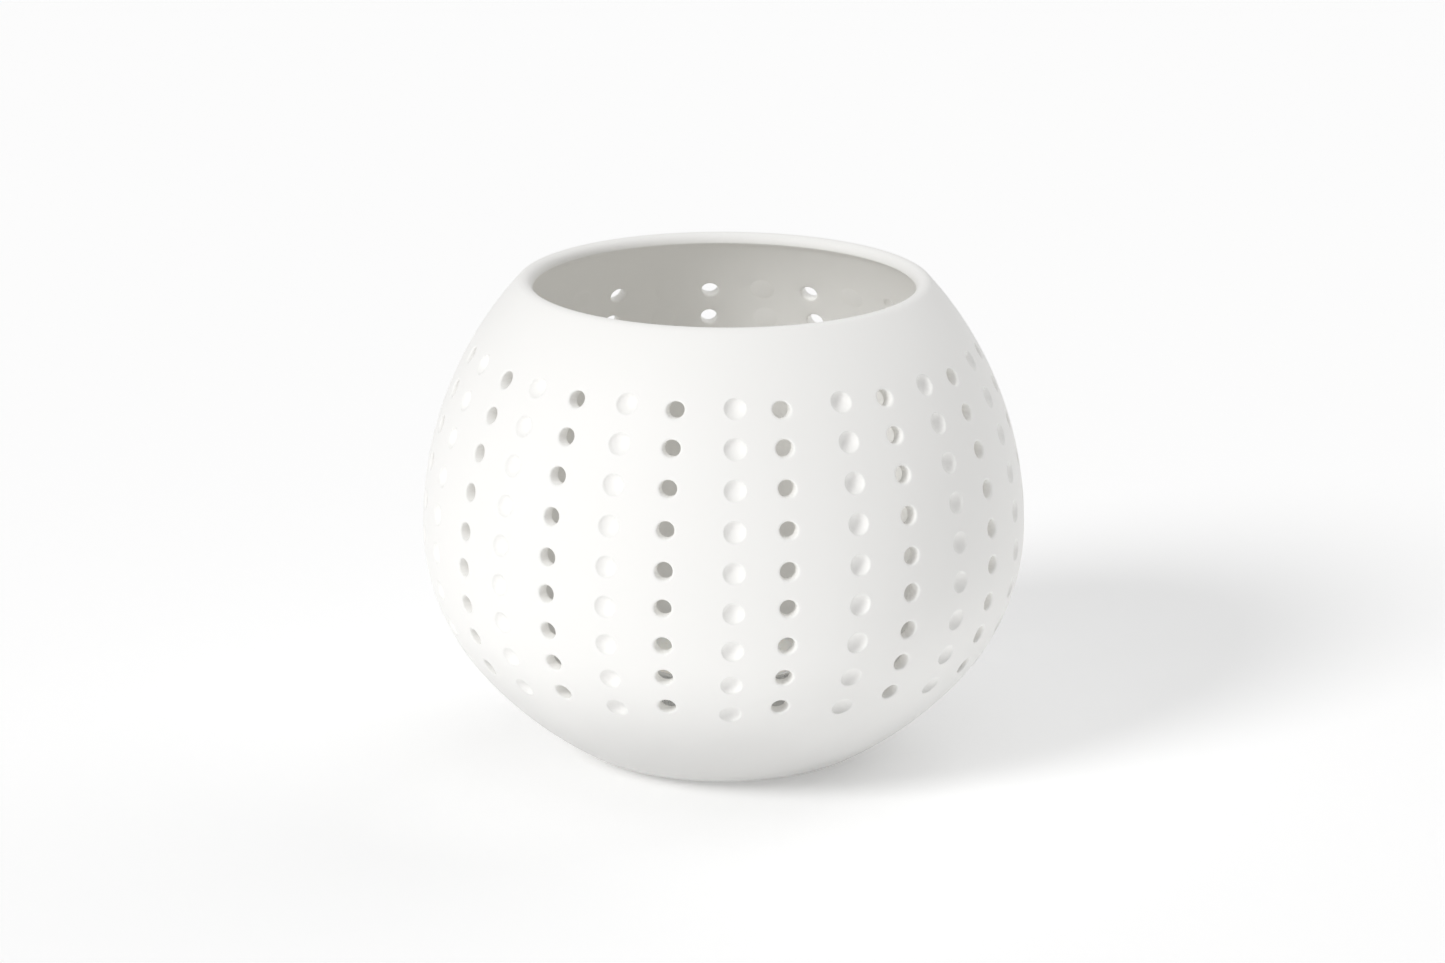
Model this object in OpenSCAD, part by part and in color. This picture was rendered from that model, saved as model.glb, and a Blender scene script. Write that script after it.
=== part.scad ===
// Tealight holder: a round porcelain bowl, pierced by columns of small holes with
// columns of pressed dimples between them, and the tealight that stands on its floor.
// Z is up. The origin is the middle of the foot, on the table, and -Y is the front.

/* [Bowl] */
// Widest diameter of the bowl
belly_d = 120; // [100:1:144]
// Height of the rim above the table
bowl_h = 96.7; // [81:0.1:116]
// Height of the widest ring above the table
belly_h = 46.7; // [40:0.1:56]
// Clear diameter of the mouth
mouth_d = 75.8; // [64:0.1:90]
// Thickness of the porcelain, the same all over
wall = 3.6; // [3:0.1:4.4]
// Radius of the turn from the foot into the side
heel_r = 19; // [16:0.5:23]
// Angle that the foot's turn goes through, in degrees
heel_turn = 31; // [27:0.5:36]
// Angle that the curve under the belly goes through, in degrees
under_turn = 40; // [34:0.5:46]

/* [Holes] */
// Columns of holes around the bowl, with one column of dimples between each two
columns = 15; // [9:1:18]
// Holes in each column, and dimples in each column
rows = 9; // [4:1:9]
// Diameter of a hole
hole_d = 3.5; // [2.8:0.1:4.2]
// Distance over the surface from the rim to the top hole's centre
hole_below_rim = 16.1; // [13:0.1:20]
// Distance over the surface from the foot to the bottom hole's centre
hole_above_foot = 43; // [36:0.1:50]
// Where the first column of holes stands, in degrees round from the front
first_column = -11; // [-30:0.5:30]
// How far each row is turned against the row above it, in degrees
row_lean = 0.11; // [0:0.01:0.5]

/* [Dimples] */
// Diameter of a dimple at the surface
dimple_d = 4.4; // [3.6:0.1:5.2]
// Depth of a dimple
dimple_depth = 0.9; // [0.5:0.05:1.3]
// Distance over the surface from the rim to the top dimple's centre
dimple_below_rim = 15.6; // [13:0.1:20]
// Distance over the surface from the foot to the bottom dimple's centre
dimple_above_foot = 41.2; // [35:0.1:48]
// Angle from a column's even place to the dimples on its right, in degrees
dimple_turn = 13; // [9:0.5:15]

/* [Tealight cup] */
// Outside diameter of the aluminium cup
cup_d = 38.5; // [37:0.1:46]
// Height of the cup
cup_h = 16; // [13:0.5:20]
// Thickness of the cup's sheet
cup_t = 0.3; // [0.2:0.05:0.4]
// Radius of the cup's bottom edge
cup_edge_r = 1.2; // [0.8:0.1:2]
// Diameter of the rolled edge around the cup's top
roll_d = 0.9; // [0.7:0.1:1.2]
// Flat floor left free around the cup
cup_room = 1.75; // [1:0.05:3]

/* [Wax and wick] */
// How far the wax lies below the top of the cup
wax_drop = 1.6; // [1:0.1:3]
// Gap between pieces that are cast or pushed into each other
cast_gap = 0.1; // [0.05:0.01:0.15]
// Diameter of the wick
wick_d = 1.8; // [1.4:0.1:2.2]
// Length of wick that stands out of the wax
wick_out = 8; // [5:0.5:11]
// Diameter of the tab that holds the wick upright
tab_d = 13; // [10:0.5:18]
// Thickness of the tab's sheet
tab_t = 0.35; // [0.25:0.05:0.5]
// Height of the tab's neck
neck_h = 3.2; // [2:0.1:5]

/* [Hidden] */

// Fine enough that every round face is rebuilt as a true one
round_fn = 96;
hole_fn = 24;
arc_step = 5;

// Small drifts of a hand-marked pattern: each hole column in degrees, each row in mm
column_drift = [0, -0.9, 0.2, 0.3, 0.5, 0.8, 1, 1.1, 2.2, 1.8, 1.5, 1.8, 2.1, 1.7, 0.6];
row_drift = [0, 0.1, 0, -0.3, -0.6, -0.3, -0.4, 0, 0];

belly_r = belly_d / 2;
foot_r = cup_d / 2 + cup_room;
lip_r = wall / 2;
lip_centre = [mouth_d / 2 + lip_r, bowl_h - lip_r];

// Shoulder arc: upright at the belly, and touching the round lip from outside
lip_in = belly_r - lip_centre[0];
lip_up = lip_centre[1] - belly_h;
shoulder_r = (lip_in * lip_in + lip_up * lip_up - lip_r * lip_r) / (2 * (lip_in - lip_r));
shoulder_centre = [belly_r - shoulder_r, belly_h];
shoulder_turn = atan2(lip_up, lip_centre[0] - shoulder_centre[0]);

// Heel arc: level at the foot. Angles of the lower arcs are those of their normals
heel_centre = [foot_r, heel_r];
heel_end = heel_turn - 90;
heel_top = on_circle(heel_centre, heel_r, heel_end);

// The arc under the belly and the flank arc join the belly to the heel without a
// corner: their two radii solve a pair of linear equations in the distance between
gap_in = belly_r - heel_top[0];
gap_down = belly_h - heel_top[1];
under_in = 1 - cos(under_turn);
under_down = sin(under_turn);
flank_in = cos(under_turn) - cos(heel_end);
flank_down = -sin(heel_end) - sin(under_turn);
solve = under_in * flank_down - flank_in * under_down;
under_r = (gap_in * flank_down - flank_in * gap_down) / solve;
flank_r = (under_in * gap_down - gap_in * under_down) / solve;
under_centre = [belly_r - under_r, belly_h];
flank_centre = on_circle(under_centre, under_r - flank_r, -under_turn);

// Lengths over the outside, from the rim down to the foot
shoulder_len = arc_length(shoulder_r, shoulder_turn);
under_len = arc_length(under_r, under_turn);
flank_len = arc_length(flank_r, 90 - heel_turn - under_turn);
side_len = shoulder_len + under_len + flank_len + arc_length(heel_r, heel_turn);

dimple_ball_r = (dimple_d * dimple_d / 4 + dimple_depth * dimple_depth) / (2 * dimple_depth);
cut_len = 3 * wall;

cup_floor = wall;
wax_floor = cup_floor + cup_t;
wax_top = cup_floor + cup_h - wax_drop;
neck_r = wick_d / 2 + cast_gap + tab_t;

function on_circle(centre, r, a) = centre + r * [cos(a), sin(a)];
function arc_length(r, turn) = PI * r * turn / 180;
function arc_turn(r, length) = 180 * length / (PI * r);
function arc(centre, r, from, to) =
    let (steps = max(2, ceil(abs(to - from) / arc_step)))
    [for (i = [0 : steps]) on_circle(centre, r, from + (to - from) * i / steps)];

// The bowl's side from the foot to the lip, inset by a depth from the outside
function side_points(depth) = concat(
    arc(heel_centre, heel_r - depth, -90, heel_end),
    arc(flank_centre, flank_r - depth, heel_end, -under_turn),
    arc(under_centre, under_r - depth, -under_turn, 0),
    arc(shoulder_centre, shoulder_r - depth, 0, shoulder_turn));

function reversed(points) = [for (i = [len(points) - 1 : -1 : 0]) points[i]];
function distinct(points) =
    [for (i = [0 : len(points) - 1]) if (i == 0 || norm(points[i] - points[i - 1]) > 0.001) points[i]];

// A place on the outside: [radius, height, angle of the normal above level]
function place(down) =
    down < shoulder_len ? placed(shoulder_centre, shoulder_r, shoulder_turn - arc_turn(shoulder_r, down)) :
    down < shoulder_len + under_len ? placed(under_centre, under_r, -arc_turn(under_r, down - shoulder_len)) :
    placed(flank_centre, flank_r, -under_turn - arc_turn(flank_r, down - shoulder_len - under_len));
function placed(centre, r, a) = concat(on_circle(centre, r, a), [a]);

// Distance of a row from the rim, with the rows spread evenly between two ends
function row_down(row, below_rim, above_foot) =
    below_rim + (side_len - below_rim - above_foot) * row / (rows - 1);
function lean(row) = row_lean * ((rows - 1) / 2 - row);
function even_place(column) = first_column + 360 * column / columns;
function hole_angle(column, row) =
    even_place(column) + column_drift[column % len(column_drift)] + lean(row);
function hole_down(row) =
    row_down(row, hole_below_rim, hole_above_foot) - row_drift[row % len(row_drift)];

// Puts its children at a place on the bowl's outside, with their Z along the normal
module at_surface(angle, down) {
    spot = place(down);
    rotate([0, 0, angle - 90])
        translate([spot[0], 0, spot[1]])
            rotate([0, 90 - spot[2], 0])
                children();
}

module bowl_body() {
    rotate_extrude($fn = round_fn)
        polygon(distinct(concat(
            [[0, 0]],
            side_points(0),
            arc(lip_centre, lip_r, shoulder_turn, shoulder_turn + 180),
            reversed(side_points(wall)),
            [[0, wall]])));
}

module hole_cuts() {
    for (column = [0 : columns - 1], row = [0 : rows - 1])
        at_surface(hole_angle(column, row), hole_down(row))
            cylinder(d = hole_d, h = cut_len, center = true, $fn = hole_fn);
}

module dimple_cuts() {
    for (column = [0 : columns - 1], row = [0 : rows - 1])
        at_surface(even_place(column) + dimple_turn + lean(row),
                   row_down(row, dimple_below_rim, dimple_above_foot))
            translate([0, 0, dimple_ball_r - dimple_depth])
                sphere(r = dimple_ball_r, $fn = hole_fn);
}

module porcelain_bowl() {
    color("white")
        difference() {
            bowl_body();
            hole_cuts();
            dimple_cuts();
        }
}

// Drawn sheet cup with a rounded bottom edge and a rolled top edge
module tealight_cup() {
    outer_r = cup_d / 2 - roll_d / 2;
    edge_centre = [outer_r - cup_edge_r, cup_edge_r];
    roll_centre = [outer_r, cup_h - roll_d / 2];
    color("silver")
        translate([0, 0, cup_floor])
            rotate_extrude($fn = round_fn)
                union() {
                    polygon(concat(
                        [[0, 0]],
                        arc(edge_centre, cup_edge_r, -90, 0),
                        [[outer_r, roll_centre[1]], [outer_r - cup_t, roll_centre[1]]],
                        reversed(arc(edge_centre, cup_edge_r - cup_t, -90, 0)),
                        [[0, cup_t]]));
                    translate(roll_centre)
                        circle(d = roll_d, $fn = hole_fn);
                }
}

module candle_wax() {
    wax_r = cup_d / 2 - roll_d / 2 - cup_t - cast_gap;
    edge_r = cup_edge_r - cup_t;
    color("ivory")
        difference() {
            translate([0, 0, wax_floor])
                rotate_extrude($fn = round_fn)
                    polygon(concat(
                        [[0, 0]],
                        arc([wax_r - edge_r, edge_r], edge_r, -90, 0),
                        [[wax_r, wax_top - wax_floor], [0, wax_top - wax_floor]]));
            tab_outline(cast_gap);
            translate([0, 0, wax_floor - 1])
                cylinder(d = wick_d + 2 * cast_gap, h = cup_h, $fn = hole_fn);
        }
}

// The tab's disc and neck as one solid of revolution, grown by a margin
module tab_outline(margin) {
    translate([0, 0, wax_floor - margin])
        cylinder(d = tab_d + 2 * margin, h = tab_t + 2 * margin, $fn = round_fn);
    translate([0, 0, wax_floor])
        cylinder(r = neck_r + margin, h = neck_h + margin, $fn = hole_fn);
}

module wick_tab() {
    color("lightgray")
        difference() {
            tab_outline(0);
            translate([0, 0, wax_floor + tab_t])
                cylinder(d = wick_d + 2 * cast_gap, h = neck_h, $fn = hole_fn);
        }
}

module wick() {
    foot = wax_floor + tab_t;
    color("linen")
        translate([0, 0, foot])
            cylinder(d = wick_d, h = wax_top + wick_out - foot, $fn = hole_fn);
}

porcelain_bowl();
tealight_cup();
candle_wax();
wick_tab();
wick();
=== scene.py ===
"""A pierced porcelain tealight holder: its finish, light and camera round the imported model.

Lengths are metres, Z is up, -Y is the front and the origin is the middle of the foot.
"""

import logging
import math
import random
from dataclasses import dataclass, field
from enum import Enum
from functools import cached_property
from typing import Sequence

import bpy
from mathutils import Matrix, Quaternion, Vector


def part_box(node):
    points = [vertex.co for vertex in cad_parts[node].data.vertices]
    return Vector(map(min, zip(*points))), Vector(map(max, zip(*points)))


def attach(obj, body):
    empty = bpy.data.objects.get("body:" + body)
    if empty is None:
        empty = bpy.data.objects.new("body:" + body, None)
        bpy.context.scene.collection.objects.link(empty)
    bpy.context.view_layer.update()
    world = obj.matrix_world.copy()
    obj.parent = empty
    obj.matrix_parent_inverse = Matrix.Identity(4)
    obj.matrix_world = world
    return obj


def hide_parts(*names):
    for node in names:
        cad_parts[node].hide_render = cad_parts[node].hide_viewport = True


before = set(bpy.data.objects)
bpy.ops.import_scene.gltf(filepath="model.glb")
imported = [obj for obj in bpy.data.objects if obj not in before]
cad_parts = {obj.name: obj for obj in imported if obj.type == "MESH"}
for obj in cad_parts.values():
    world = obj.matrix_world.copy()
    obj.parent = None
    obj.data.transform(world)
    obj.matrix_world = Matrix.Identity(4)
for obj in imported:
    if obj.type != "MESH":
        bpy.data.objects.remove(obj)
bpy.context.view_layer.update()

log = logging.getLogger("tealight_holder")

MM = 0.001

# Points nearer than this become one.
WELD = 0.002 * MM

# The room round the cup on the flat floor.
CUP_ROOM = 1.75 * MM

# Where the rings of the foot and of the floor lie, as shares of the foot's radius.
BASE_RINGS = (0.75, 0.5, 0.25, 0.0)

Colour = tuple[float, float, float, float]
Outline = list[tuple[float, float]]


# ---------------------------------------------------------------- materials


class Value:
    """A number, colour or vector that a material works out at each point of a surface."""

    def __init__(self, sheet: "NodeSheet", socket: bpy.types.NodeSocket) -> None:
        """Wraps one output socket.

        Args:
            sheet: The material's nodes, which the socket belongs to.
            socket: The output socket.
        """
        self.sheet = sheet
        self.socket = socket

    def _maths(self, operation: str, first: "Value | float", second: "Value | float") -> "Value":
        """Adds one Math node.

        Args:
            operation: The Math node's operation.
            first: Its first number.
            second: Its second number.

        Returns:
            The node's result.
        """
        return self.sheet.node("ShaderNodeMath", {"operation": operation}, {0: first, 1: second})

    def __add__(self, other: "Value | float") -> "Value":
        """Self plus other."""
        return self._maths("ADD", self, other)

    def __radd__(self, other: float) -> "Value":
        """Other plus self."""
        return self._maths("ADD", other, self)

    def __sub__(self, other: "Value | float") -> "Value":
        """Self less other."""
        return self._maths("SUBTRACT", self, other)

    def __rsub__(self, other: float) -> "Value":
        """Other less self."""
        return self._maths("SUBTRACT", other, self)

    def __mul__(self, other: "Value | float") -> "Value":
        """Self times other."""
        return self._maths("MULTIPLY", self, other)

    def __rmul__(self, other: float) -> "Value":
        """Other times self."""
        return self._maths("MULTIPLY", other, self)


class NodeSheet:
    """The nodes of one material, laid down one call at a time."""

    def __init__(self, name: str) -> None:
        """Starts an empty material.

        Args:
            name: The material's name.
        """
        self.material = bpy.data.materials.new(name)
        self.material.use_nodes = True
        self.tree = self.material.node_tree
        self.tree.nodes.clear()

    def node(
        self,
        kind: str,
        settings: dict[str, object] | None = None,
        inputs: dict[str | int, object] | None = None,
        output: str | int = 0,
    ) -> Value:
        """Adds one node.

        Args:
            kind: The node's type.
            settings: Its own settings, set first.
            inputs: A plain value or a Value for each socket, by name or number.
            output: The output that is wanted, by name or number.

        Returns:
            The wanted output.
        """
        made = self.tree.nodes.new(kind)
        for name, setting in (settings or {}).items():
            setattr(made, name, setting)
        for name, given in (inputs or {}).items():
            if isinstance(given, Value):
                self.tree.links.new(given.socket, made.inputs[name])
            else:
                made.inputs[name].default_value = given
        return Value(self, made.outputs[output] if made.outputs else None)

    @cached_property
    def place(self) -> Value:
        """The point's place on the object, in metres."""
        return self.node("ShaderNodeTexCoord", output="Object")

    def stretched(self, scale: tuple[float, float, float]) -> Value:
        """The point's place with each axis scaled, which draws a pattern out."""
        return self.node("ShaderNodeMapping", inputs={"Vector": self.place, "Scale": scale})

    def noise(self, size: float, detail: float = 2.0, at: Value | None = None) -> Value:
        """Soft noise.

        Args:
            size: About how wide one patch of the noise is, in metres.
            detail: How many finer layers it has.
            at: The coordinates, or None for the plain place.

        Returns:
            A number that swings about 0.5.
        """
        inputs = {"Vector": at or self.place, "Scale": 1 / size, "Detail": detail}
        return self.node("ShaderNodeTexNoise", inputs=inputs)

    def between(self, share: Value, low: "Colour | Value", high: "Colour | Value") -> Value:
        """A colour between two.

        Args:
            share: 0 for the low colour, 1 for the high one.
            low: The low colour.
            high: The high colour.

        Returns:
            The mixed colour.
        """
        return self.node("ShaderNodeMix", {"data_type": "RGBA"}, {0: share, 6: low, 7: high}, 2)

    def bump(self, height: Value, depth: float, below: Value | None = None) -> Value:
        """Makes the surface look raised.

        Args:
            height: Where it is raised, from 0 to 1.
            depth: How far, in metres.
            below: The bump that this one lies on.

        Returns:
            The normal.
        """
        inputs = {"Height": height, "Distance": depth, "Strength": 1.0}
        if below is not None:
            inputs["Normal"] = below
        return self.node("ShaderNodeBump", inputs=inputs)

    def finish(self, shader: dict[str | int, object]) -> bpy.types.Material:
        """Closes the material with its shader.

        Args:
            shader: The inputs of the principled shader.

        Returns:
            The finished material.
        """
        surface = self.node("ShaderNodeBsdfPrincipled", inputs=shader)
        self.node("ShaderNodeOutputMaterial", inputs={"Surface": surface})
        return self.material


@dataclass(frozen=True)
class BisquePorcelain:
    """White porcelain fired without glaze: matt, faintly clouded, with a fine tooth. Its colour is
    painted darker towards the bottom as painted shade.
    """

    pale: Colour = (0.968, 0.962, 0.944, 1.0)
    shade: Colour = (0.950, 0.944, 0.924, 1.0)
    # Painted shade: the darker colour that the bowl fades to at its bottom.
    painted_foot_shade: Colour = (0.70, 0.698, 0.688, 1.0)
    foot_shade_top: float = 37 * MM
    foot_shade_drift: float = 6 * MM
    roughness: float = 0.6
    roughness_swing: float = 0.12
    specular: float = 0.3
    cloud: float = 22 * MM
    ripple: float = 9 * MM
    tooth: float = 0.35 * MM
    ripple_depth: float = 0.05 * MM
    tooth_depth: float = 0.006 * MM

    def material(self) -> bpy.types.Material:
        """Lays down the finish.

        Returns:
            The finish as a material.
        """
        sheet = NodeSheet("bisque_porcelain")
        cloud = sheet.noise(self.cloud, 3.0)
        height = sheet.node("ShaderNodeSeparateXYZ", inputs={"Vector": sheet.place}, output="Z")
        # Painted shade: below a height with a cloudy edge, the colour fades from the clouded tone to
        # the darker one at the bottom.
        unshaded = sheet.node(
            "ShaderNodeMapRange",
            {"interpolation_type": "SMOOTHSTEP"},
            {"Value": height + self.foot_shade_drift * (cloud - 0.5), "From Max": self.foot_shade_top},
        )
        tooth = sheet.noise(self.tooth, 2.0)
        ripples = sheet.bump(sheet.noise(self.ripple, 1.0), self.ripple_depth)
        clouded = sheet.between(cloud, self.shade, self.pale)
        return sheet.finish({
            "Base Color": sheet.between(unshaded, self.painted_foot_shade, clouded),
            "Roughness": self.roughness + self.roughness_swing * (tooth - 0.5),
            "Specular IOR Level": self.specular,
            "Normal": sheet.bump(tooth, self.tooth_depth, ripples),
        })


@dataclass(frozen=True)
class DrawnAluminium:
    """Thin drawn sheet: bright metal with upright draw lines and soft dents."""

    bright: Colour = (0.86, 0.865, 0.87, 1.0)
    dull: Colour = (0.74, 0.745, 0.75, 1.0)
    roughness: float = 0.3
    roughness_swing: float = 0.25
    line: float = 0.5 * MM
    line_stretch: float = 0.04
    dent: float = 5 * MM
    line_depth: float = 0.01 * MM
    dent_depth: float = 0.12 * MM

    def material(self) -> bpy.types.Material:
        """Lays down the finish.

        Returns:
            The finish as a material.
        """
        sheet = NodeSheet("cup_aluminium")
        lines = sheet.noise(self.line, 2.0, sheet.stretched((1.0, 1.0, self.line_stretch)))
        dents = sheet.bump(sheet.noise(self.dent, 0.0), self.dent_depth)
        return sheet.finish({
            "Base Color": sheet.between(lines, self.dull, self.bright),
            "Metallic": 1.0,
            "Roughness": self.roughness + self.roughness_swing * (lines - 0.5),
            "Normal": sheet.bump(lines, self.line_depth, dents),
        })


@dataclass(frozen=True)
class ParaffinWax:
    """White wax, a little clear under the surface, that set with a soft uneven skin."""

    milky: Colour = (0.93, 0.92, 0.89, 1.0)
    clear: Colour = (0.87, 0.855, 0.81, 1.0)
    roughness: float = 0.34
    roughness_swing: float = 0.3
    crystal: float = 2.4 * MM
    skin: float = 7 * MM
    crystal_depth: float = 0.02 * MM
    skin_depth: float = 0.25 * MM
    glow: float = 0.4
    glow_depth: float = 3 * MM
    glow_reach: tuple[float, float, float] = (1.0, 0.8, 0.6)

    def material(self) -> bpy.types.Material:
        """Lays down the finish.

        Returns:
            The finish as a material.
        """
        sheet = NodeSheet("paraffin_wax")
        crystals = sheet.noise(self.crystal, 4.0)
        skin = sheet.bump(sheet.noise(self.skin, 1.0), self.skin_depth)
        return sheet.finish({
            "Base Color": sheet.between(crystals, self.clear, self.milky),
            "Roughness": self.roughness + self.roughness_swing * (crystals - 0.5),
            "Subsurface Weight": self.glow,
            "Subsurface Radius": self.glow_reach,
            "Subsurface Scale": self.glow_depth,
            "Normal": sheet.bump(crystals, self.crystal_depth, skin),
        })


@dataclass(frozen=True)
class Tinplate:
    """Pressed tin sheet, dull and lightly spangled."""

    bright: Colour = (0.68, 0.68, 0.67, 1.0)
    dull: Colour = (0.5, 0.5, 0.49, 1.0)
    roughness: float = 0.42
    roughness_swing: float = 0.3
    spangle: float = 1.2 * MM

    def material(self) -> bpy.types.Material:
        """Lays down the finish.

        Returns:
            The finish as a material.
        """
        sheet = NodeSheet("tab_tinplate")
        spangle = sheet.noise(self.spangle, 3.0)
        return sheet.finish({
            "Base Color": sheet.between(spangle, self.dull, self.bright),
            "Metallic": 1.0,
            "Roughness": self.roughness + self.roughness_swing * (spangle - 0.5),
        })


@dataclass(frozen=True)
class WaxedCotton:
    """Braided cotton drawn through wax: pale, fibrous, with wax in its hollows."""

    pale: Colour = (0.9, 0.87, 0.79, 1.0)
    deep: Colour = (0.7, 0.65, 0.55, 1.0)
    roughness: float = 0.75
    roughness_swing: float = 0.2
    fibre: float = 0.12 * MM
    fibre_stretch: float = 0.15
    fibre_depth: float = 0.05 * MM

    def material(self) -> bpy.types.Material:
        """Lays down the finish.

        Returns:
            The finish as a material.
        """
        sheet = NodeSheet("wick_cotton")
        fibres = sheet.noise(self.fibre, 3.0, sheet.stretched((1.0, 1.0, self.fibre_stretch)))
        return sheet.finish({
            "Base Color": sheet.between(fibres, self.deep, self.pale),
            "Roughness": self.roughness + self.roughness_swing * (fibres - 0.5),
            "Normal": sheet.bump(fibres, self.fibre_depth),
        })


@dataclass(frozen=True)
class StudioWhite:
    """The floor's smooth matt white, with a little light of its own."""

    white: Colour = (0.97, 0.97, 0.97, 1.0)
    faint: Colour = (0.96, 0.96, 0.96, 1.0)
    patch: float = 400 * MM
    glow: float = 0.15

    def material(self) -> bpy.types.Material:
        """Lays down the finish.

        Returns:
            The finish as a material.
        """
        sheet = NodeSheet("studio_white")
        return sheet.finish({
            "Base Color": sheet.between(sheet.noise(self.patch), self.faint, self.white),
            "Roughness": 1.0,
            "Specular IOR Level": 0.0,
            "Emission Color": self.white,
            "Emission Strength": self.glow,
        })


# ---------------------------------------------------------------- modelling moves


class Bench:
    """The modelling moves that the pieces are made with."""

    @staticmethod
    def clear() -> None:
        """Leaves nothing selected."""
        bpy.ops.object.select_all(action="DESELECT")

    @staticmethod
    def edit(piece: bpy.types.Object) -> None:
        """Opens a piece in edit mode with all of it selected.

        Args:
            piece: The piece.
        """
        Bench.clear()
        piece.select_set(True)
        bpy.context.view_layer.objects.active = piece
        bpy.ops.object.mode_set(mode="EDIT")
        bpy.ops.mesh.select_all(action="SELECT")

    @staticmethod
    def close() -> None:
        """Goes back to object mode."""
        bpy.ops.object.mode_set(mode="OBJECT")

    @staticmethod
    def chain(name: str, outline: Outline) -> bpy.types.Object:
        """Draws an outline in the XZ plane as a chain of edges.

        Args:
            name: The new piece's name.
            outline: Its points, each a radius and a height.

        Returns:
            The chain, which is one point drawn out again and again.
        """
        points = [Vector((radius, 0.0, height)) for radius, height in outline]
        Bench.clear()
        bpy.ops.mesh.primitive_plane_add(size=MM, location=(0.0, 0.0, 0.0))
        piece = bpy.context.active_object
        piece.name = piece.data.name = name
        bpy.ops.object.mode_set(mode="EDIT")
        bpy.ops.mesh.merge(type="CENTER")
        bpy.ops.transform.translate(value=points[0])
        for start, end in zip(points, points[1:]):
            bpy.ops.mesh.extrude_vertices_move(TRANSFORM_OT_translate={"value": end - start})
        Bench.close()
        return piece

    @staticmethod
    def turned(name: str, outline: Outline, steps: int, start: float = 0.0) -> bpy.types.Object:
        """Turns an outline about Z.

        Args:
            name: The new piece's name.
            outline: Its points, each a radius and a height.
            steps: How many steps make the full turn.
            start: The angle that the first step stands at, in radians.

        Returns:
            The turned sheet, welded along its seam and at its poles.
        """
        piece = Bench.chain(name, outline)
        Bench.edit(piece)
        bpy.ops.transform.rotate(
            value=-start, orient_axis="Z", center_override=(0.0, 0.0, 0.0)
        )
        bpy.ops.mesh.spin(
            steps=steps, angle=math.tau, center=(0.0, 0.0, 0.0), axis=(0.0, 0.0, 1.0)
        )
        bpy.ops.mesh.select_all(action="SELECT")
        bpy.ops.mesh.remove_doubles(threshold=WELD)
        Bench.close()
        return piece

    @staticmethod
    def copied(piece: bpy.types.Object) -> bpy.types.Object:
        """Copies a piece.

        Args:
            piece: The piece.

        Returns:
            Its copy, with a mesh of its own.
        """
        copy = piece.copy()
        copy.data = piece.data.copy()
        bpy.context.scene.collection.objects.link(copy)
        return copy

    @staticmethod
    def joined(name: str, parts: Sequence[bpy.types.Object]) -> bpy.types.Object:
        """Joins parts into one closed skin.

        Args:
            name: The joined piece's name.
            parts: The parts, whose edges meet.

        Returns:
            The piece, welded, with its faces outwards.
        """
        Bench.clear()
        for part in parts:
            part.select_set(True)
        bpy.context.view_layer.objects.active = parts[0]
        bpy.ops.object.join()
        piece = bpy.context.active_object
        piece.name = piece.data.name = name
        Bench.edit(piece)
        bpy.ops.mesh.remove_doubles(threshold=WELD)
        bpy.ops.mesh.normals_make_consistent(inside=False)
        Bench.close()
        return piece

    @staticmethod
    def smooth(piece: bpy.types.Object, crease: float | None = None) -> None:
        """Shades a piece smooth.

        Args:
            piece: The piece.
            crease: The angle from which an edge stays sharp, or None for no sharp edges.
        """
        Bench.clear()
        piece.select_set(True)
        bpy.context.view_layer.objects.active = piece
        if crease is None:
            bpy.ops.object.shade_smooth()
        else:
            bpy.ops.object.shade_smooth_by_angle(angle=crease)

    @staticmethod
    def dress(piece: bpy.types.Object, material: bpy.types.Material) -> None:
        """Gives a piece one material all over."""
        piece.data.materials.clear()
        piece.data.materials.append(material)

    @staticmethod
    def report(piece: bpy.types.Object) -> None:
        """Logs a piece's name, its size in millimetres and its triangles.

        Args:
            piece: The piece.
        """
        triangles = sum(len(face.vertices) - 2 for face in piece.data.polygons)
        sides = " x ".join(f"{side / MM:.1f}" for side in piece.dimensions)
        log.info("%s: %s mm, %d triangles", piece.name, sides, triangles)


def arc(centre: tuple[float, float], radius: float, start: float, end: float, steps: int) -> Outline:
    """Points along an arc.

    Args:
        centre: The arc's centre, as a radius and a height.
        radius: Its radius.
        start: The angle of its first point, in degrees.
        end: The angle of its last point, in degrees.
        steps: How many steps lie between them.

    Returns:
        The points, both ends with them.
    """
    angles = (math.radians(start + (end - start) * step / steps) for step in range(steps + 1))
    return [(centre[0] + radius * math.cos(a), centre[1] + radius * math.sin(a)) for a in angles]


def mix(first: float, second: float, share: float) -> float:
    """The number that lies a share of the way from the first to the second."""
    return first + (second - first) * share


# ---------------------------------------------------------------- the bowl


@dataclass(frozen=True)
class SideArc:
    """One arc of the bowl's outside, run through from its top end down."""

    centre: tuple[float, float]
    radius: float
    start: float
    turn: float

    @property
    def length(self) -> float:
        """Its length."""
        return self.radius * self.turn

    def slope(self, along: float) -> float:
        """The angle above level of its outward direction, a distance down from its top end."""
        return self.start - along / self.radius

    def point(self, along: float, depth: float) -> tuple[float, float]:
        """A point on it or under it.

        Args:
            along: The distance down from its top end.
            depth: The distance inwards from the outside.

        Returns:
            The point's radius and height.
        """
        angle = self.slope(along)
        reach = self.radius - depth
        return self.centre[0] + reach * math.cos(angle), self.centre[1] + reach * math.sin(angle)


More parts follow.
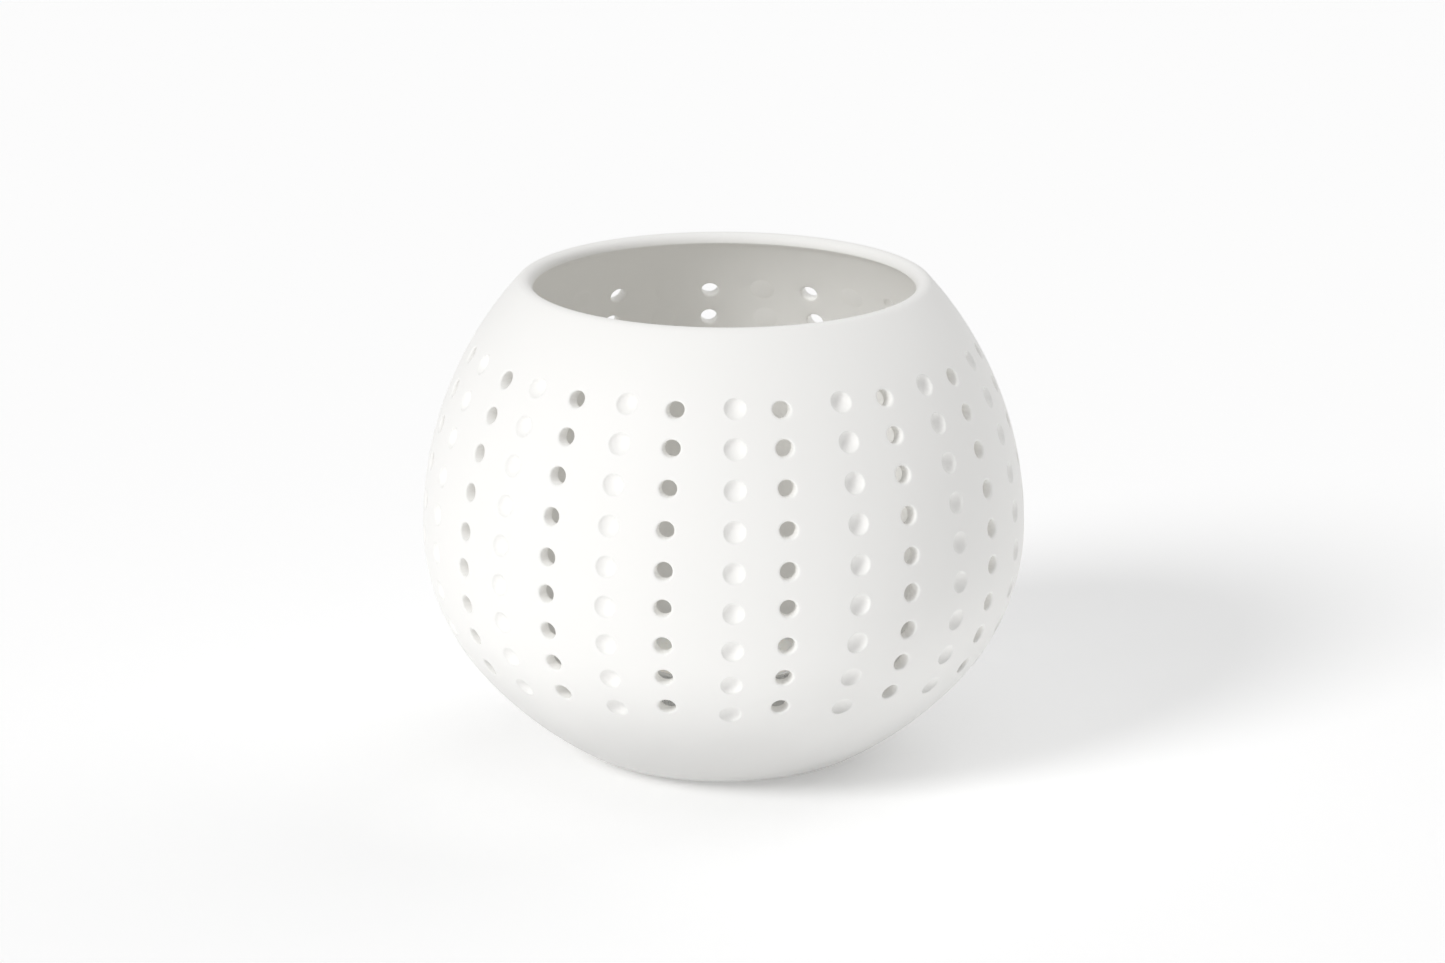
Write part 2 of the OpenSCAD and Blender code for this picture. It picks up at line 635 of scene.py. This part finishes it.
@dataclass
class BowlSide:
    """The bowl's wall: four arcs that run into each other from the rim to the foot.

    Below the rim the wall is thinner by the share thinned, up to its blend into the floor. The rim's
    full round ends inside at the angle lip_end, in degrees.
    """

    belly_r: float
    bowl_h: float
    foot_r: float
    belly_h: float = 46.7 * MM
    mouth_r: float = 37.9 * MM
    wall: float = 3.6 * MM
    heel_r: float = 19 * MM
    heel_turn: float = math.radians(31)
    under_turn: float = math.radians(40)
    thinned: float = 0.24
    lip_end: float = 185.0
    lip_last_step: float = 4.0
    lip_gap: float = 0.3 * MM
    floor_blend: float = 14 * MM
    level_share: float = 0.7
    rim_fade: float = 13 * MM
    foot_fade: float = 36 * MM

    @property
    def lip_r(self) -> float:
        """The radius of the rim's full round."""
        return self.wall / 2

    @property
    def lip_centre(self) -> tuple[float, float]:
        """The centre of the rim's full round."""
        return self.mouth_r + self.lip_r, self.bowl_h - self.lip_r

    @cached_property
    def arcs(self) -> tuple[SideArc, ...]:
        """The bowl's outside, solved so that each arc runs smoothly into the next.

        Returns:
            The shoulder, the curve under the belly, the flank and the heel.
        """
        inward = self.belly_r - self.lip_centre[0]
        upward = self.lip_centre[1] - self.belly_h
        shoulder_r = (inward**2 + upward**2 - self.lip_r**2) / (2 * (inward - self.lip_r))
        shoulder_centre = (self.belly_r - shoulder_r, self.belly_h)
        shoulder_turn = math.atan2(upward, self.lip_centre[0] - shoulder_centre[0])

        heel_centre = (self.foot_r, self.heel_r)
        heel_end = self.heel_turn - math.pi / 2
        gap_in = self.belly_r - heel_centre[0] - self.heel_r * math.cos(heel_end)
        gap_down = self.belly_h - heel_centre[1] - self.heel_r * math.sin(heel_end)
        under_in = 1 - math.cos(self.under_turn)
        under_down = math.sin(self.under_turn)
        flank_in = math.cos(self.under_turn) - math.cos(heel_end)
        flank_down = -math.sin(heel_end) - math.sin(self.under_turn)
        solve = under_in * flank_down - flank_in * under_down
        under_r = (gap_in * flank_down - flank_in * gap_down) / solve
        flank_r = (under_in * gap_down - gap_in * under_down) / solve
        under_centre = (self.belly_r - under_r, self.belly_h)
        flank_centre = (
            under_centre[0] + (under_r - flank_r) * math.cos(self.under_turn),
            under_centre[1] - (under_r - flank_r) * math.sin(self.under_turn),
        )
        return (
            SideArc(shoulder_centre, shoulder_r, shoulder_turn, shoulder_turn),
            SideArc(under_centre, under_r, 0.0, self.under_turn),
            SideArc(flank_centre, flank_r, -self.under_turn, -heel_end - self.under_turn),
            SideArc(heel_centre, self.heel_r, heel_end, self.heel_turn),
        )

    @cached_property
    def length(self) -> float:
        """The distance over the outside from the rim to the foot."""
        return sum(part.length for part in self.arcs)

    def part(self, down: float) -> tuple[SideArc, float]:
        """Finds the arc that a distance from the rim lies on.

        Args:
            down: The distance over the outside from the rim.

        Returns:
            The arc, and how far down that arc the place lies.
        """
        for part in self.arcs[:-1]:
            if down < part.length:
                return part, down
            down -= part.length
        return self.arcs[-1], down

    def thickness(self, down: float) -> float:
        """The wall's thickness as a share of its full one, which the floor has."""
        inside = max(0.0, min(1.0, (self.length - down) / self.floor_blend))
        return 1 - self.thinned * inside**2 * (3 - 2 * inside)

    def point(self, down: float, depth: float = 0.0) -> tuple[float, float]:
        """A point in the wall, reached by going in from the outside.

        The way in lies between square to the wall and level, as the holes do.

        Args:
            down: The distance over the outside from the rim.
            depth: The distance inwards from the outside.

        Returns:
            The point's radius and height.
        """
        part, along = self.part(down)
        depth *= self.thickness(down)
        share = min(1.0, down / self.rim_fade, (self.length - down) / self.foot_fade)
        rise = depth * math.tan(self.level_share * part.slope(along)) * max(0.0, share)
        part, along = self.part(down - rise)
        return part.point(along, depth)

    def run(self, start: float, end: float, depth: float, steps: int) -> Outline:
        """Points along the wall from one distance below the rim to another."""
        return [self.point(mix(start, end, step / steps), depth) for step in range(steps + 1)]


class Column(Enum):
    """What a column of the pattern holds."""

    HOLES = 0
    DIMPLES = 1


@dataclass
class Pattern:
    """Where the holes and the dimples stand on the bowl, in degrees round and metres down."""

    side_length: float
    columns: int = 15
    rows: int = 9
    first_column: float = -11.0
    row_lean: float = 0.11
    dimple_turn: float = 13.0
    hole_below_rim: float = 16.1 * MM
    hole_above_foot: float = 43 * MM
    dimple_below_rim: float = 15.6 * MM
    dimple_above_foot: float = 41.2 * MM
    column_drift: tuple[float, ...] = (
        0, -0.9, 0.2, 0.3, 0.5, 0.8, 1, 1.1, 2.2, 1.8, 1.5, 1.8, 2.1, 1.7, 0.6
    )
    row_drift: tuple[float, ...] = (0, 0.1, 0, -0.3, -0.6, -0.3, -0.4, 0, 0)

    @property
    def strips(self) -> int:
        """The number of columns of either kind."""
        return 2 * self.columns

    def kind(self, strip: int) -> Column:
        """What a strip holds."""
        return Column(strip % 2)

    def lean(self, row: float) -> float:
        """How far a row is turned, in degrees."""
        return self.row_lean * ((self.rows - 1) / 2 - row)

    def upright(self, strip: int) -> float:
        """Finds the angle of a strip's middle without its lean.

        Args:
            strip: The strip, counted on round the bowl as often as wanted.

        Returns:
            The angle, in degrees.
        """
        turns, inside = divmod(strip, self.strips)
        column = inside // 2
        place = self.first_column + 360 * (column / self.columns + turns)
        if self.kind(inside) is Column.HOLES:
            return place + self.column_drift[column]
        return place + self.dimple_turn

    def angle(self, strip: int, row: int) -> float:
        """The angle of a hole or a dimple, in degrees."""
        return self.upright(strip) + self.lean(row)

    def down(self, kind: Column, row: int) -> float:
        """Finds how far down a row stands.

        Args:
            kind: Whether the row is one of holes or of dimples.
            row: The row.

        Returns:
            Its distance from the rim.
        """
        share = row / (self.rows - 1)
        if kind is Column.HOLES:
            spread = mix(self.hole_below_rim, self.side_length - self.hole_above_foot, share)
            return spread - self.row_drift[row] * MM
        return mix(self.dimple_below_rim, self.side_length - self.dimple_above_foot, share)

    def border_angle(self, strip: int, line: int) -> float:
        """The angle of a strip's left border where it crosses a line between rows, in degrees."""
        lean = self.lean(min(max(line - 0.5, 0), self.rows - 1))
        return (self.upright(strip - 1) + self.upright(strip)) / 2 + lean

    @cached_property
    def lines(self) -> list[float]:
        """The lines above, between and below the rows.

        Returns:
            Their distances from the rim.
        """
        rows = [
            (self.down(Column.HOLES, row) + self.down(Column.DIMPLES, row)) / 2
            for row in range(self.rows)
        ]
        between = [(upper + lower) / 2 for upper, lower in zip(rows, rows[1:])]
        top = rows[0] - (rows[1] - rows[0]) / 2
        bottom = rows[-1] + (rows[-1] - rows[-2]) / 2
        return [top, *between, bottom]


@dataclass
class PiercedBowl:
    """The porcelain bowl, pierced by columns of holes with columns of dimples between them."""

    side: BowlSide
    pattern: Pattern
    finish: BisquePorcelain = field(default_factory=BisquePorcelain)
    hole_r: float = 1.75 * MM
    outer_edge_r: float = 0.5 * MM
    inner_edge_r: float = 0.5 * MM
    dimple_r: float = 2.15 * MM
    dimple_depth: float = 1.6 * MM
    boss_r: float = 2.6 * MM
    boss_height: float = 0.2 * MM
    press_rings: tuple[float, ...] = (1.1, 1.0, 0.93, 0.8, 0.62, 0.4, 0.2, 0.0)
    press_roundness: float = 0.75
    around: int = 20
    edge_steps: int = 4
    lip_steps: int = 11
    rim_steps: int = 8
    foot_steps: int = 16
    floor_steps: int = 14
    keep_r: float = 2.7 * MM
    cell_r: float = 6 * MM
    seed: int = 7
    size_spread: float = 0.03
    oval_spread: float = 0.035
    slant_spread: float = 0.18 * MM

    @property
    def per_side(self) -> int:
        """How many steps one side of a cell has."""
        return self.around // 4

    @property
    def middle_r(self) -> float:
        """The radius in a flat cell of the ring half-way out to its border."""
        return (self.keep_r + self.cell_r) / 2

    def hole_cell(self) -> bpy.types.Object:
        """Makes the cell of a hole.

        Returns:
            A flat cell with a hole through the wall and both its edges rounded.
        """
        wall, outer, inner = self.side.wall, self.outer_edge_r, self.inner_edge_r
        outline = [(self.cell_r, 0.0), (self.middle_r, 0.0), (self.keep_r, 0.0)]
        outline += arc((self.hole_r + outer, -outer), outer, 90, 180, self.edge_steps)
        outline += [(self.hole_r, -wall / 2)]
        outline += arc((self.hole_r + inner, inner - wall), inner, 180, 270, self.edge_steps)
        outline += [(self.middle_r, -wall), (self.cell_r, -wall)]
        return self.cell("hole_cell", outline)

    def dimple_cell(self) -> bpy.types.Object:
        """Makes the cell of a dimple.

        Returns:
            A flat cell with a dimple pressed in outside and a low boss behind it.
        """
        wall, rings = self.side.wall, [(share, self.bell(share)) for share in self.press_rings]
        border = [self.cell_r, self.middle_r]
        dimple = [(share * self.dimple_r, -self.dimple_depth * bell) for share, bell in rings]
        boss = [(share * self.boss_r, -wall - self.boss_height * bell) for share, bell in rings]
        outside = self.cell("dimple_cell", [(radius, 0.0) for radius in border] + dimple)
        inside = self.cell("boss_cell", [(radius, -wall) for radius in border] + boss)
        return Bench.joined("dimple_cell", [outside, inside])

    def bell(self, share: float) -> float:
        """A press mark's depth, from 1 in its middle to 0 at its edge."""
        return max(0.0, 1 - share**2) ** self.press_roundness

    def cell(self, name: str, outline: Outline) -> bpy.types.Object:
        """Turns a cell's outline so that its border has a point at each corner."""
        return Bench.turned(name, outline, self.around, math.pi / self.around)

    def border(self, strip: int, row: int, turn: float) -> tuple[float, float]:
        """A point on a cell's border.

        Args:
            strip: The cell's strip.
            row: The cell's row.
            turn: The point's direction from the middle, as a share of a full turn.

        Returns:
            Its angle round the bowl, in degrees, and its distance from the rim.
        """
        side, along = divmod((turn + 0.125) % 1.0 * 4, 1)
        right, fall = ((1, 1 - along), (1 - along, 0), (0, along), (along, 1))[int(side) % 4]
        lines, edge = self.pattern.lines, self.pattern.border_angle
        left_angle = mix(edge(strip, row), edge(strip, row + 1), fall)
        right_angle = mix(edge(strip + 1, row), edge(strip + 1, row + 1), fall)
        return mix(left_angle, right_angle, right), mix(lines[row], lines[row + 1], fall)

    def on_bowl(self, angle: float, down: float, depth: float) -> Vector:
        """A point of the bowl.

        Args:
            angle: Degrees round from the front.
            down: The distance over the outside from the rim.
            depth: The distance inwards from the outside.

        Returns:
            Its place.
        """
        radius, height = self.side.point(down, depth)
        turn = math.radians(angle)
        return Vector((radius * math.sin(turn), -radius * math.cos(turn), height))

    def lay(self, cell: bpy.types.Object, strip: int, row: int, hand: random.Random) -> None:
        """Bends a flat cell on to its place on the bowl.

        Args:
            cell: The flat cell.
            strip: Its strip.
            row: Its row.
            hand: The small unevenness of handwork.
        """
        angle = self.pattern.angle(strip, row)
        middle = self.pattern.down(self.pattern.kind(strip), row)
        size = 1 + hand.uniform(-self.size_spread, self.size_spread)
        oval = hand.uniform(-self.oval_spread, self.oval_spread)
        lean = hand.uniform(0, math.pi)
        slant = Vector((hand.gauss(0, 0.5), hand.gauss(0, 0.5))) * self.slant_spread
        for vertex in cell.data.vertices:
            flat = vertex.co.xy
            depth = -vertex.co.z
            reach = max(0.0, (flat.length - self.keep_r) / (self.cell_r - self.keep_r))
            turn = math.atan2(flat.y, flat.x)
            if reach:
                flat = flat.normalized() * self.keep_r
            else:
                stretch = size * (1 + oval * math.cos(2 * (turn - lean)))
                flat = flat * mix(stretch, 1.0, (flat.length / self.keep_r) ** 3)
                flat += slant * (depth / self.side.wall) * (1 - (flat.length / self.keep_r) ** 2)
            down = middle - flat.y
            round_to = angle + math.degrees(flat.x / self.side.point(down)[0])
            if reach:
                border_angle, border_down = self.border(strip, row, turn / math.tau)
                round_to = mix(round_to, border_angle, reach)
                down = mix(down, border_down, reach)
            vertex.co = self.on_bowl(round_to, down, depth)

    def fitted_band(self, name: str, outline: Outline, line: int) -> bpy.types.Object:
        """A turned band whose steps stand where the pattern's borders meet it.

        Args:
            name: The band's name.
            outline: Its outline.
            line: The line between rows that the band starts from.

        Returns:
            The band.
        """
        steps = self.pattern.strips * self.per_side
        band = Bench.turned(name, outline, steps)
        for vertex in band.data.vertices:
            radius = vertex.co.xy.length
            step = round(math.atan2(vertex.co.y, vertex.co.x) / math.tau * steps) % steps
            strip, part = divmod(step, self.per_side)
            left = self.pattern.border_angle(strip, line)
            right = self.pattern.border_angle(strip + 1, line)
            turn = math.radians(mix(left, right, part / self.per_side))
            vertex.co.xy = radius * math.sin(turn), -radius * math.cos(turn)
        return band

    def rim_band(self) -> bpy.types.Object:
        """Makes the plain band above the holes.

        Returns:
            The band, from the outside over the round rim and down inside.
        """
        side, top = self.side, self.pattern.lines[0]
        lip_start = math.degrees(side.arcs[0].start)
        last_step = side.lip_end - side.lip_last_step
        outline = side.run(top, 0.0, 0.0, self.rim_steps)[:-1]
        outline += arc(side.lip_centre, side.lip_r, lip_start, last_step, self.lip_steps)
        outline += arc(side.lip_centre, side.lip_r, last_step, side.lip_end, 1)[1:]
        outline += side.run(side.lip_gap, top, side.wall, self.rim_steps)
        return self.fitted_band("rim_band", outline, 0)

    def foot_band(self) -> bpy.types.Object:
        """Makes the plain outside below the holes.

        Returns:
            The band, round the heel and closed under the foot.
        """
        outline = self.side.run(self.pattern.lines[-1], self.side.length, 0.0, self.foot_steps)
        outline += [(self.side.foot_r * share, 0.0) for share in BASE_RINGS]
        return self.fitted_band("foot_band", outline, self.pattern.rows)

    def floor_band(self) -> bpy.types.Object:
        """Makes the inside below the holes.

        Returns:
            The band, closed by the floor that the tealight stands on.
        """
        wall = self.side.wall
        outline = self.side.run(self.pattern.lines[-1], self.side.length, wall, self.floor_steps)
        outline += [(self.side.foot_r * share, wall) for share in BASE_RINGS]
        return self.fitted_band("floor_band", outline, self.pattern.rows)

    def build(self) -> bpy.types.Object:
        """Makes the whole bowl.

        Returns:
            The bowl, one closed skin, dressed and riding on its body.
        """
        hand = random.Random(self.seed)
        cells = {Column.HOLES: self.hole_cell(), Column.DIMPLES: self.dimple_cell()}
        laid = []
        for strip in range(self.pattern.strips):
            for row in range(self.pattern.rows):
                cell = Bench.copied(cells[self.pattern.kind(strip)])
                self.lay(cell, strip, row, hand)
                laid.append(cell)
        for cell in cells.values():
            bpy.data.objects.remove(cell)
        bands = [self.rim_band(), self.foot_band(), self.floor_band()]
        bowl = Bench.joined("pierced_bowl", bands + laid)
        Bench.smooth(bowl)
        Bench.dress(bowl, self.finish.material())
        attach(bowl, "bowl")
        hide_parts("porcelain_bowl")
        Bench.report(bowl)
        return bowl


# ---------------------------------------------------------------- the tealight


@dataclass
class Tealight:
    """The tealight: a drawn cup, wax set in it, and a braided wick on its tab.

    Of the shares, base_share lies between the base's middle and its side, and wax_rings lie
    between the wick and the cup.
    """

    around: int = 96
    crease: float = math.radians(50)
    wall: float = 0.3 * MM
    edge_r: float = 1.2 * MM
    roll_r: float = 0.45 * MM
    roll_turn: tuple[float, float] = (-80, 215)
    roll_fall: float = 3.0
    base_share: float = 0.6
    gap: float = 0.1 * MM
    cling: float = 0.6
    tab_t: float = 0.35 * MM
    tab_margin: float = 0.1 * MM
    neck_r: float = 1.35 * MM
    meniscus: float = 0.55 * MM
    wick_climb: float = 22.0
    cup_climb: float = 26.0
    sink: float = 0.35 * MM
    wax_rings: tuple[float, ...] = (0.02, 0.05, 0.1, 0.2, 0.4, 0.6, 0.8, 0.9, 0.95, 0.98)
    wick_lobes: int = 4
    wick_lobe: float = 0.14
    wick_around: int = 24
    wick_rise: float = 0.4 * MM
    wick_twist: float = math.radians(11)

    def cup(self) -> bpy.types.Object:
        """Makes the cup.

        Returns:
            The aluminium cup, with a round lower edge and a rolled top edge.
        """
        low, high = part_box("tealight_cup")
        outer_r = (high.x - low.x) / 2 - self.roll_r
        floor, top = low.z, high.z
        roll = (outer_r, top - self.roll_r)
        edge = (outer_r - self.edge_r, floor + self.edge_r)
        outline = [(0.0, floor), (outer_r * self.base_share, floor)]
        outline += arc(edge, self.edge_r, -90, 0, 5)
        outline += arc(roll, self.roll_r, *self.roll_turn, 12)
        outline += [(outer_r - self.wall, top - self.roll_fall * self.roll_r)]
        outline += arc(edge, self.edge_r - self.wall, 0, -90, 4)
        outline += [(outer_r * self.base_share, floor + self.wall), (0.0, floor + self.wall)]
        return self.placed("drawn_cup", outline, "tealight_cup", "cup_aluminium", DrawnAluminium())

    def wax(self) -> bpy.types.Object:
        """Makes the wax.

        Returns:
            The wax, risen a little against the cup and the wick, and sunk between them.
        """
        low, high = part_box("candle_wax")
        tab_low, tab_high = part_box("wick_tab")
        wick_low, wick_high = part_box("wick")
        outer_r = (high.x - low.x) / 2 + self.gap * self.cling
        bore_r = (wick_high.x - wick_low.x) / 2 + self.gap
        tab_r = (tab_high.x - tab_low.x) / 2 + self.tab_margin
        neck_r = self.neck_r + self.tab_margin
        neck_top = tab_high.z + self.tab_margin
        tab_top = tab_low.z + self.tab_t + self.tab_margin
        edge_r = self.edge_r - self.wall
        outline = [(bore_r, neck_top), (bore_r, high.z + self.meniscus)]
        outline += [
            (mix(bore_r, outer_r, share), high.z + self.level(share)) for share in self.wax_rings
        ]
        outline += [(outer_r, high.z + self.meniscus)]
        outline += arc((outer_r - edge_r, low.z + edge_r), edge_r, 0, -90, 4)
        outline += [(tab_r, low.z), (tab_r, tab_top), (neck_r, tab_top), (neck_r, neck_top)]
        outline += [(bore_r, neck_top)]
        return self.placed("set_wax", outline, "candle_wax", "paraffin_wax", ParaffinWax())

    def level(self, share: float) -> float:
        """The wax's height between the wick, 0, and the cup, 1."""
        climb = math.exp(-share * self.wick_climb) + math.exp(-(1 - share) * self.cup_climb)
        return self.meniscus * climb - self.sink * math.sin(math.pi * share) ** 2

    def wick(self) -> bpy.types.Object:
        """Makes the wick.

        Returns:
            The wick, a lobed cord drawn up and twisted a little at each step.
        """
        low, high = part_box("wick")
        radius = (high.x - low.x) / 2
        steps = int((high.z - low.z) / self.wick_rise)
        rise = (high.z - low.z) / steps
        Bench.clear()
        bpy.ops.mesh.primitive_circle_add(
            vertices=self.wick_around, radius=radius, fill_type="NGON", location=(0.0, 0.0, 0.0)
        )
        wick = bpy.context.active_object
        wick.name = wick.data.name = "braided_wick"
        for vertex in wick.data.vertices:
            turn = math.atan2(vertex.co.y, vertex.co.x)
            vertex.co.xy *= 1 - self.wick_lobe + self.wick_lobe * math.cos(self.wick_lobes * turn)
        Bench.edit(wick)
        bpy.ops.transform.translate(value=(0.0, 0.0, low.z))
        for _ in range(steps):
            bpy.ops.mesh.extrude_region_move(TRANSFORM_OT_translate={"value": (0.0, 0.0, rise)})
            bpy.ops.transform.rotate(
                value=self.wick_twist, orient_axis="Z", center_override=(0.0, 0.0, 0.0)
            )
        bpy.ops.mesh.select_all(action="SELECT")
        bpy.ops.mesh.normals_make_consistent(inside=False)
        Bench.close()
        self.attach(wick, "wick", "wick_cotton", WaxedCotton().material())
        return wick

    def placed(
        self, name: str, outline: Outline, node: str, slot: str, finish: DrawnAluminium | ParaffinWax
    ) -> bpy.types.Object:
        """Turns, dresses and seats one round piece.

        Args:
            name: The piece's name.
            outline: Its outline.
            node: The CAD node that it stands for.
            slot: A name that is passed on to attach.
            finish: Its finish.

        Returns:
            The piece.
        """
        piece = Bench.joined(name, [Bench.turned(name, outline, self.around)])
        self.attach(piece, node, slot, finish.material(), self.crease)
        return piece

    @staticmethod
    def attach(
        piece: bpy.types.Object,
        node: str,
        slot: str,
        material: bpy.types.Material,
        crease: float | None = None,
    ) -> None:
        """Finishes a piece and lets it ride on the tealight.

        Args:
            piece: The piece.
            node: The CAD node that it stands for.
            slot: Not used.
            material: Its material.
            crease: The angle from which its edges stay sharp.
        """
        Bench.smooth(piece, crease)
        Bench.dress(piece, material)
        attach(piece, "tealight")
        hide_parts(node)
        Bench.report(piece)

    def tab(self) -> None:
        """Dresses the wick tab, whose own shape is right."""
        Bench.dress(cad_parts["wick_tab"], Tinplate().material())

    def build(self) -> None:
        """Makes the cup, the wax and the wick, and dresses the tab."""
        self.cup()
        self.wax()
        self.tab()
        self.wick()


# ---------------------------------------------------------------- the studio


def bearing(azimuth: float, elevation: float) -> Vector:
    """The direction at an angle round from the front and an angle up from level."""
    level = math.cos(elevation)
    return Vector((math.sin(azimuth) * level, -math.cos(azimuth) * level, math.sin(elevation)))


@dataclass(frozen=True)
class Lamp:
    """One far lamp: where it stands, how strong it is and how wide it looks."""

    name: str
    azimuth: float
    elevation: float
    strength: float
    spread: float


@dataclass
class Studio:
    """A white floor, a key light front left, softer ones behind and above, and an even sky."""

    floor_size: float = 12.0
    floor_gap: float = 0.05 * MM
    key: Lamp = Lamp("key_light", math.radians(-46), math.radians(33), 1.4, math.radians(20))
    rim: Lamp = Lamp("rim_light", math.radians(135), math.radians(40), 0.55, math.radians(50))
    top: Lamp = Lamp("top_light", 0.0, math.radians(85), 0.32, math.radians(50))
    sky_strength: float = 0.4
    bounces: int = 12
    spare_bounces: int = 4
    sky_colour: Colour = (1.0, 1.0, 1.0, 1.0)

    def floor(self) -> None:
        """Lays the white floor, which lies just clear of the foot."""
        Bench.clear()
        bpy.ops.mesh.primitive_plane_add(
            size=self.floor_size, location=(0.0, 0.0, -self.floor_gap)
        )
        floor = bpy.context.active_object
        floor.name = floor.data.name = "studio_floor"
        Bench.dress(floor, StudioWhite().material())

    @staticmethod
    def hang(lamp: Lamp) -> None:
        """Adds one lamp.

        Args:
            lamp: The lamp.
        """
        light = bpy.data.lights.new(lamp.name, "SUN")
        light.energy = lamp.strength
        light.angle = lamp.spread
        stand = bpy.data.objects.new(lamp.name, light)
        bpy.context.scene.collection.objects.link(stand)
        stand.rotation_mode = "QUATERNION"
        stand.rotation_quaternion = bearing(lamp.azimuth, lamp.elevation).to_track_quat("Z", "Y")

    def sky(self) -> None:
        """Adds the even light from all round."""
        world = bpy.data.worlds.new("studio_sky")
        world.use_nodes = True
        background = world.node_tree.nodes["Background"]
        background.inputs["Color"].default_value = self.sky_colour
        background.inputs["Strength"].default_value = self.sky_strength
        bpy.context.scene.world = world

    def build(self) -> None:
        """Sets up the whole studio."""
        self.floor()
        for lamp in (self.key, self.rim, self.top):
            self.hang(lamp)
        self.sky()
        bpy.context.scene.cycles.diffuse_bounces = self.bounces
        bpy.context.scene.cycles.max_bounces = self.bounces + self.spare_bounces
        bpy.context.scene.view_settings.view_transform = "Standard"


@dataclass
class Camera:
    """The camera, by what it looks at and where from."""

    aim: Vector = field(default_factory=lambda: Vector((-0.24, 0.0, 54.94)) * MM)
    distance: float = 1097.7 * MM
    azimuth: float = math.radians(0.013)
    elevation: float = math.radians(15.898)
    roll: float = math.radians(0.201)
    lens: float = 137.05
    sensor: float = 36.0
    nearest: float = 0.01
    farthest: float = 100.0

    def build(self) -> None:
        """Makes the camera and gives it to the scene."""
        lens = bpy.data.cameras.new("camera")
        lens.lens = self.lens
        lens.sensor_width = self.sensor
        lens.dof.use_dof = False
        lens.clip_start, lens.clip_end = self.nearest, self.farthest
        camera = bpy.data.objects.new("camera", lens)
        bpy.context.scene.collection.objects.link(camera)
        back = bearing(self.azimuth, self.elevation)
        camera.location = self.aim + back * self.distance
        camera.rotation_mode = "QUATERNION"
        straight = (-back).to_track_quat("-Z", "Y")
        camera.rotation_quaternion = straight @ Quaternion((0.0, 0.0, 1.0), self.roll)
        bpy.context.scene.camera = camera


def main() -> None:
    """Builds the pieces, the studio and the camera."""
    logging.basicConfig(level=logging.INFO, format="%(name)s: %(message)s")
    low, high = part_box("porcelain_bowl")
    cup_low, cup_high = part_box("tealight_cup")
    side = BowlSide(
        belly_r=(high.x - low.x) / 2,
        bowl_h=high.z,
        foot_r=(cup_high.x - cup_low.x) / 2 + CUP_ROOM,
    )
    PiercedBowl(side, Pattern(side.length)).build()
    Tealight().build()
    Studio().build()
    Camera().build()


if __name__ == "__main__":
    main()
